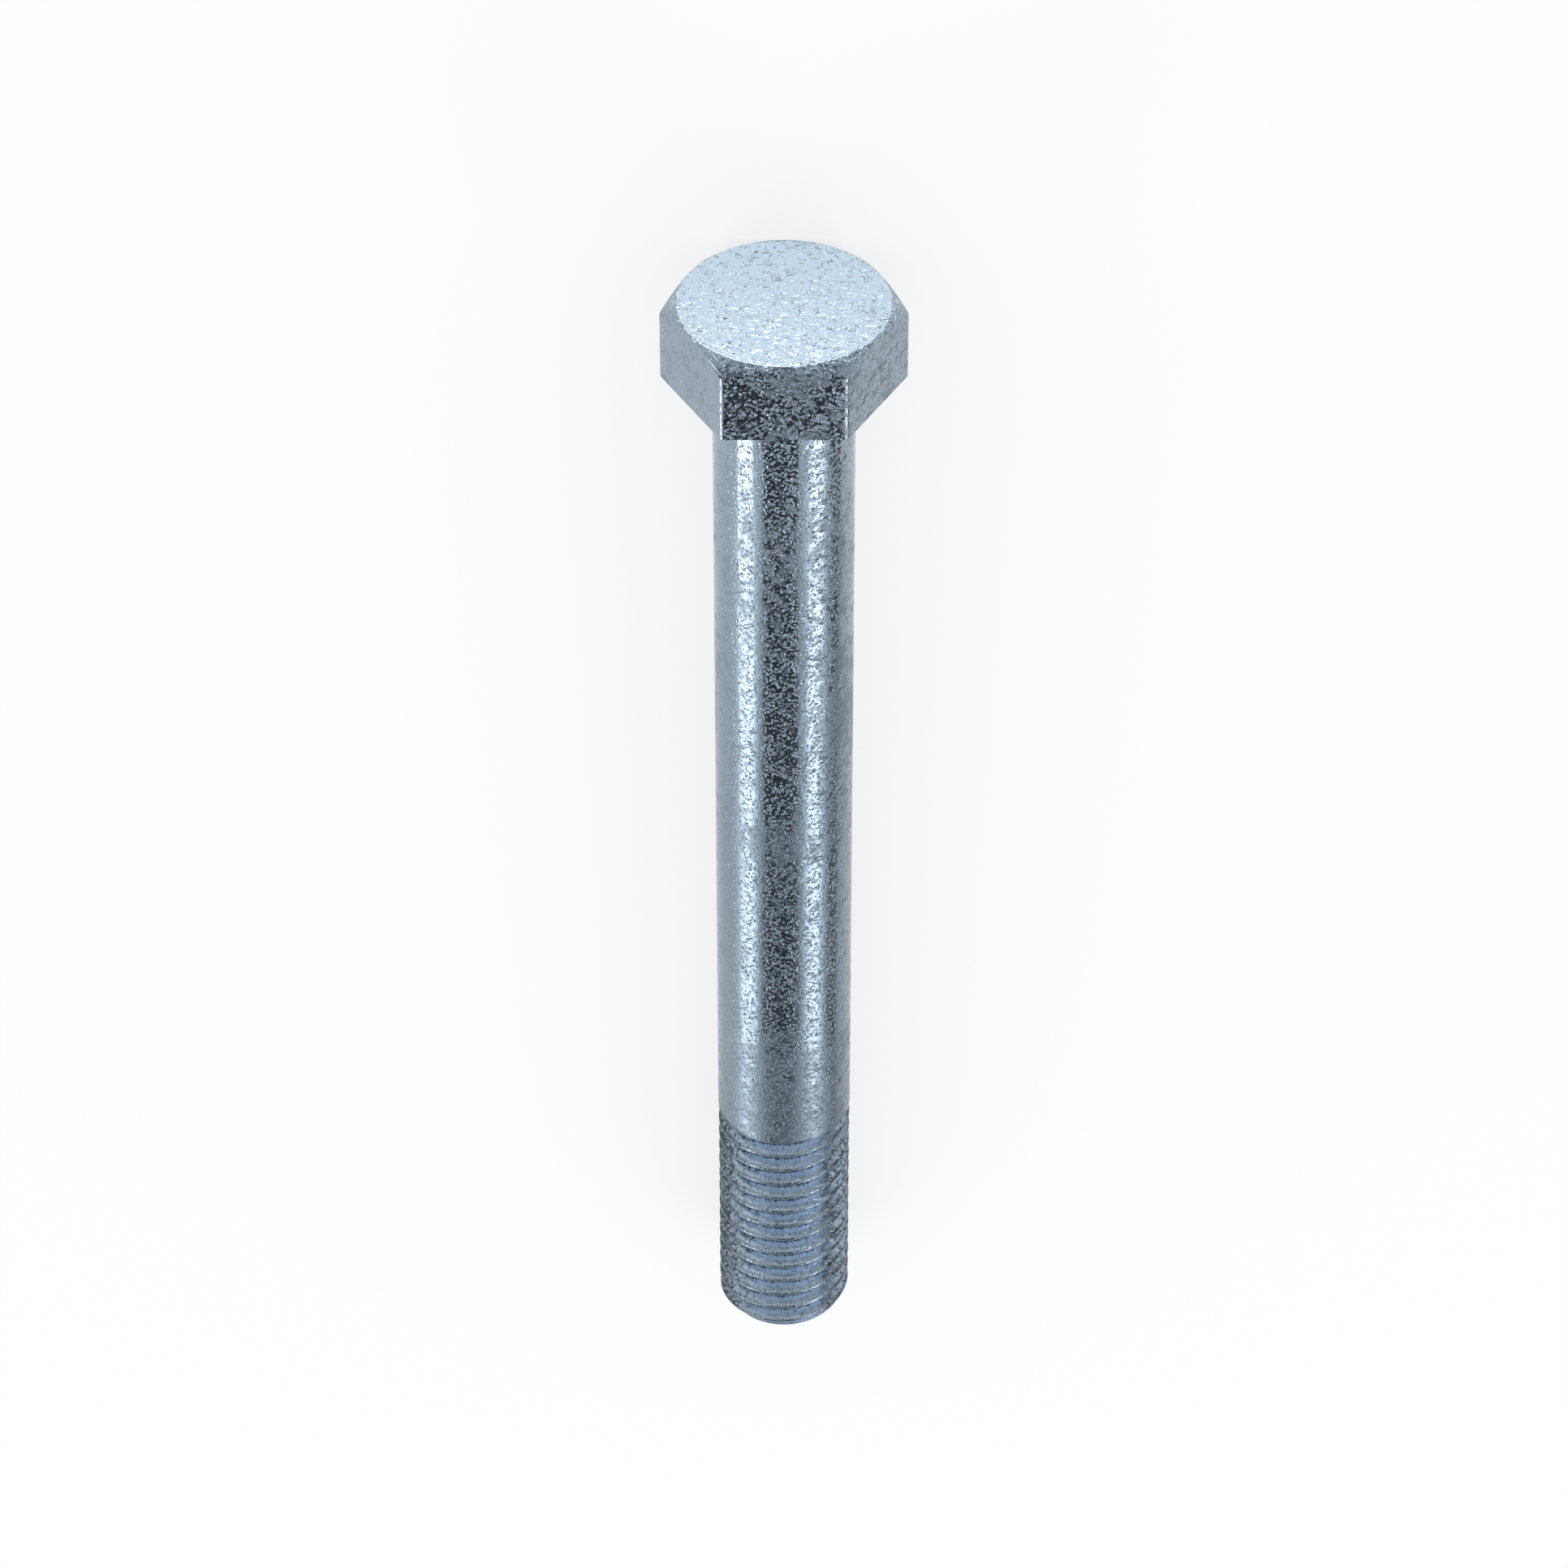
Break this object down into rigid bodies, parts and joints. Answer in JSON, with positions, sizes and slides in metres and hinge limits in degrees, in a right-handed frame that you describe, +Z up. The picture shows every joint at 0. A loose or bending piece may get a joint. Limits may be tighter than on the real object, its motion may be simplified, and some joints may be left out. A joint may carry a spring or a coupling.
{
  "type": "hex head cap screw",
  "caption": "Galvanised hex head cap screw with a chamfered crown, a washer face, a long plain shank and a short coarse thread, lying on a flat of its head.",
  "frame": {"origin": "on the surface that the screw lies on, below the middle of its box", "axes": "+X towards the tip, +Z up, +Y across; the screw's own axis dips 1.67 degrees towards the tip, because it leans on the edge of a head flat and on its thread"},
  "size_m": [0.1504, 0.0272, 0.0241],
  "materials": {
    "galvanised_steel": "hot-dip zinc, pitted and lumpy, half bright"
  },
  "bodies": {
    "root": {"cap_screw": "galvanised_steel"}
  },
  "joints": []
}
